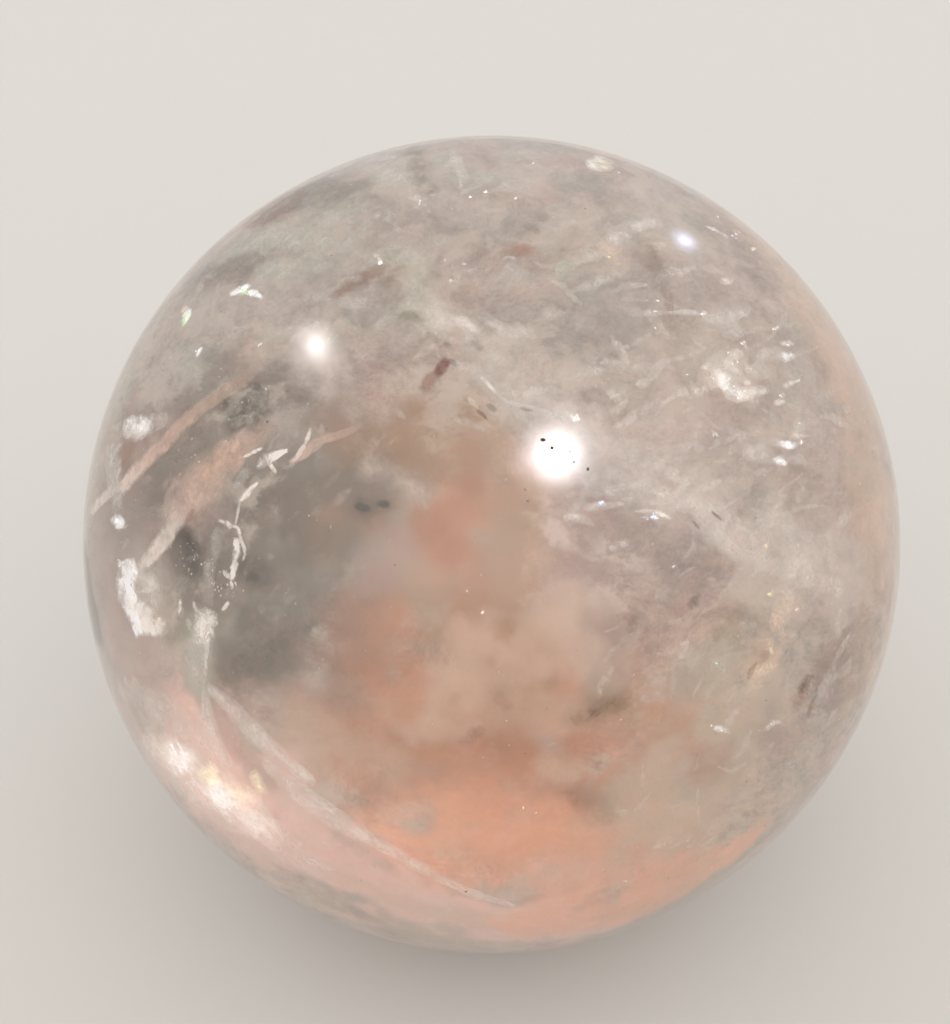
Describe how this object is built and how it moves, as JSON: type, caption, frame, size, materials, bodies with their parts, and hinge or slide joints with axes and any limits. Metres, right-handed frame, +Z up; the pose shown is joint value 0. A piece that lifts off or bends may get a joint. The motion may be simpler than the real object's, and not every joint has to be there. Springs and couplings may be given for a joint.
{
  "type": "quartz sphere",
  "caption": "Polished sphere of milky, see-through quartz that stands by itself on a small ground flat.",
  "frame": {"origin": "middle of the small ground flat that the sphere stands on, which is the middle of the bounding box's bottom face", "axes": "+Z up, from the flat through the sphere's centre; +Y away from the side that the picture shows"},
  "size_m": [0.13, 0.13, 0.1295],
  "materials": {
    "milky_quartz": "polished to a gloss, milky and see-through, with white healed fractures, mirror-like cracks and warm iron stains inside"
  },
  "bodies": {
    "root": {"quartz_sphere": "milky_quartz"}
  },
  "joints": []
}
